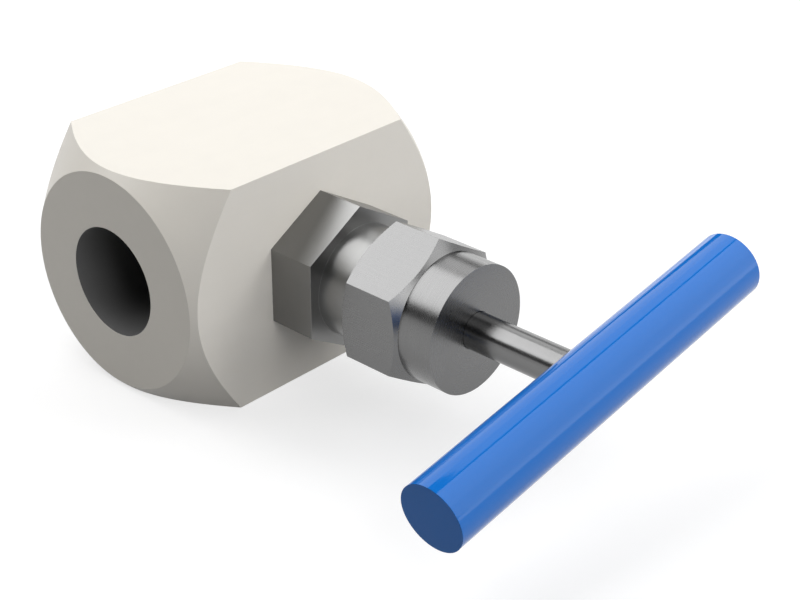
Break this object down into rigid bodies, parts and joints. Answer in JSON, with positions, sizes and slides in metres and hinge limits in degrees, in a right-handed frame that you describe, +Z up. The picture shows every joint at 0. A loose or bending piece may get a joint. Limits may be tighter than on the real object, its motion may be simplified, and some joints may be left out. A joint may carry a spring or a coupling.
{
  "type": "manual needle valve",
  "caption": "Hand needle valve with in-line threaded ports in a square bar body, screwed bonnet, packing nut and a T-bar handle on a screw spindle.",
  "frame": {"origin": "centre of the body's lower flat, under the crossing of the port axis and the stem axis", "axes": "+X along the ports towards the outlet, +Z up, the stem points out of the body along -Y"},
  "size_m": [0.07, 0.0974, 0.038],
  "materials": {
    "body_finish": "satin",
    "turned_steel": "satin",
    "polished_steel": "satin",
    "hardened_steel": "satin",
    "spring_steel": "satin",
    "black_steel": "satin",
    "bush_bronze": "satin",
    "seal_rubber": "matte",
    "packing_polymer": "matte",
    "seal_polymer": "matte",
    "handle_enamel": "gloss"
  },
  "bodies": {
    "housing": {"valve_body": "body_finish", "seat_insert": "hardened_steel", "seat_gasket": "seal_polymer", "bonnet_gasket": "seal_polymer", "bonnet": "turned_steel", "packing_base_ring": "turned_steel", "packing_ring_lower": "packing_polymer", "packing_ring_middle": "packing_polymer", "packing_ring_upper": "packing_polymer", "packing_top_ring": "turned_steel", "gland_bush": "bush_bronze", "gland_washer": "turned_steel", "packing_nut": "turned_steel", "stem_wiper": "seal_rubber"},
    "needle": {"needle": "hardened_steel", "thrust_disc": "hardened_steel"},
    "spindle": {"spindle": "polished_steel", "needle_clip": "spring_steel", "handle_bar": "handle_enamel", "handle_screw": "black_steel"}
  },
  "joints": [
    {"name": "needle_lift", "type": "slide", "parent": "housing", "child": "needle", "axis": [0, -1, 0], "range_m": [0, 0.005]},
    {"name": "handle_turn", "type": "hinge", "parent": "needle", "child": "spindle", "pos_m": [0, -0.073, 0.019], "axis": [0, -1, 0], "range_deg": [0, 1800]}
  ],
  "couplings": [
    {"joint": "needle_lift", "follows": "handle_turn", "m_per_rad": 0.000159}
  ]
}
